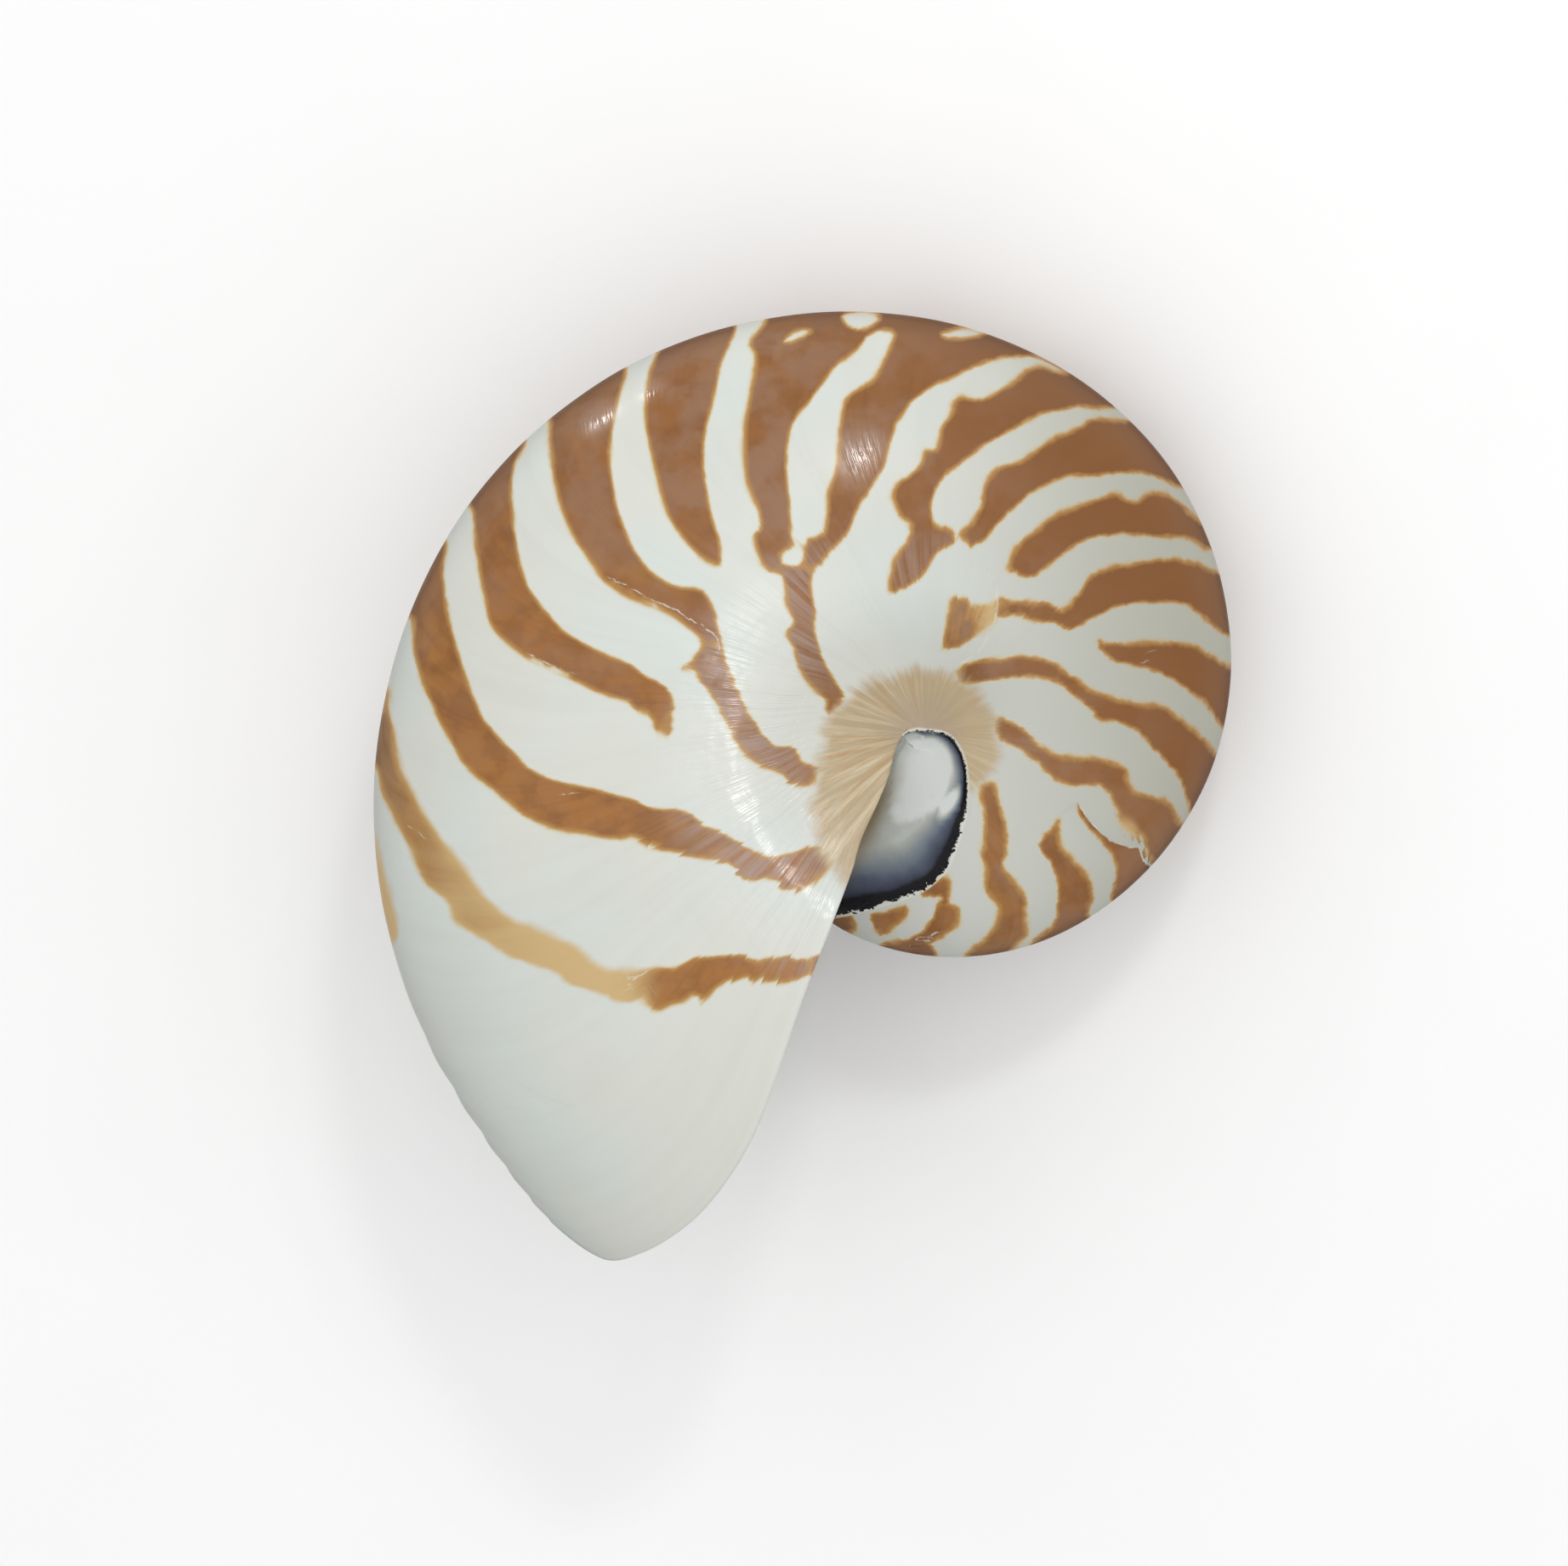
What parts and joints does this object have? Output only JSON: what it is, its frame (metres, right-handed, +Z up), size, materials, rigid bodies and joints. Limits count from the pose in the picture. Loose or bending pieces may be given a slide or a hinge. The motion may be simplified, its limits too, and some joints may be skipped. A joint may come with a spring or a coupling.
{
  "type": "chambered nautilus shell",
  "caption": "Polished chambered nautilus shell with brown flame stripes and an open living chamber, lying on its flank.",
  "frame": {"origin": "on the surface the shell lies on, under the middle of its bounding box", "axes": "+Z up out of the surface; +Y along the shell's longest extent, away from the mouth; +X away from the outer curve of the last turn, to the side that the mouth opens to"},
  "size_m": [0.141, 0.1574, 0.0803],
  "materials": {
    "shell": "polished, glossy white shell with red-brown stripes; pearly inside"
  },
  "bodies": {
    "root": {"shell": "shell"}
  },
  "joints": []
}
